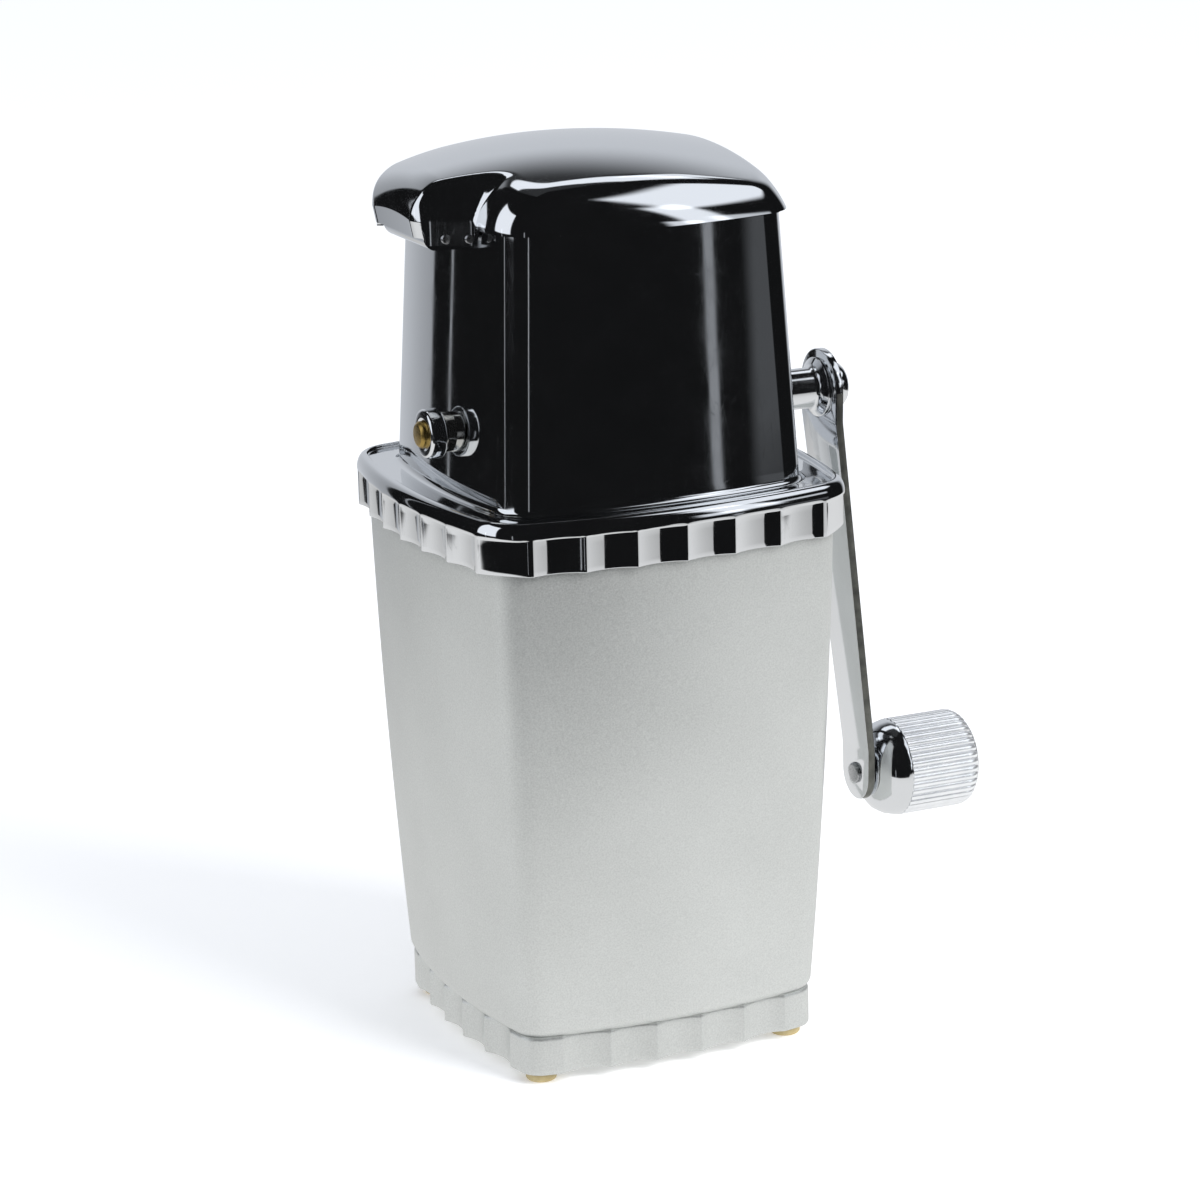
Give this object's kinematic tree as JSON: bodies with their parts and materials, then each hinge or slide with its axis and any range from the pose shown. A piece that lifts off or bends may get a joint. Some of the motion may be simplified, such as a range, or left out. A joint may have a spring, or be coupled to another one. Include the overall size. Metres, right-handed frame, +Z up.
{
  "type": "hand crank ice crusher",
  "caption": "Hand-cranked ice crusher: a square fluted tub, a lift-off chromed head with a bladed rotor between combs, a side crank with a turning knob, and a hinged lid.",
  "frame": {"origin": "centre of the tub's square plan, at the level of the undersides of the feet", "axes": "+Z up; +X along the rotor axle towards the crank, with the lid hinge at -X; -Y is the side nearer the axle"},
  "size_m": [0.1739, 0.1208, 0.2608],
  "materials": {
    "tub_silver": "satin silver lacquer on moulded plastic",
    "foot_rubber": "yellowed soft rubber",
    "chrome_plate": "polished chrome plate on a die casting",
    "frame_steel": "bright pressed steel",
    "screw_steel": "zinc-plated",
    "shaft_yellow_passivated": "turned, yellow passivated",
    "blade_steel": "punched and tumbled stainless steel",
    "bush_nickel": "nickel-plated, turned",
    "chrome_small_parts": "polished chrome plate on steel",
    "spindle_steel": "drawn steel",
    "chrome_knob": "polished chrome plate, ribbed"
  },
  "bodies": {
    "tub": {"ice_tub": "tub_silver", "rubber_feet": "foot_rubber"},
    "housing": {"upper_housing": "chrome_plate", "hopper_frame": "frame_steel", "frame_screws": "screw_steel", "front_comb": "frame_steel", "back_comb": "frame_steel", "comb_screws": "screw_steel", "left_bush": "bush_nickel", "right_bush": "bush_nickel"},
    "lid": {"lid": "chrome_plate", "lid_hinge_pin": "spindle_steel", "lid_rest_pin": "spindle_steel"},
    "rotor": {"rotor_shaft": "shaft_yellow_passivated", "rotor_spacers": "blade_steel", "rotor_blade_1": "blade_steel", "rotor_blade_2": "blade_steel", "rotor_blade_3": "blade_steel", "rotor_blade_4": "blade_steel", "rotor_blade_5": "blade_steel", "shaft_cap": "chrome_small_parts", "crank_hub": "chrome_small_parts", "crank_arm": "chrome_small_parts", "crank_washer": "chrome_small_parts", "crank_cap_nut": "chrome_small_parts", "knob_spindle": "spindle_steel"},
    "knob": {"crank_knob": "chrome_knob", "knob_end_plug": "chrome_knob"}
  },
  "joints": [
    {"name": "housing_lift", "type": "slide", "parent": "tub", "child": "housing", "axis": [0, 0, 1], "range_m": [0, 0.08]},
    {"name": "lid_hinge", "type": "hinge", "parent": "housing", "child": "lid", "pos_m": [-0.052, 0, 0.2386], "axis": [0, -1, 0], "range_deg": [0, 100]},
    {"name": "crank_spin", "type": "hinge", "parent": "housing", "child": "rotor", "pos_m": [0, -0.008, 0.1824], "axis": [1, 0, 0], "continuous": true},
    {"name": "knob_spin", "type": "hinge", "parent": "rotor", "child": "knob", "pos_m": [0.0972, -0.008, 0.0641], "axis": [1, 0, 0], "continuous": true}
  ]
}
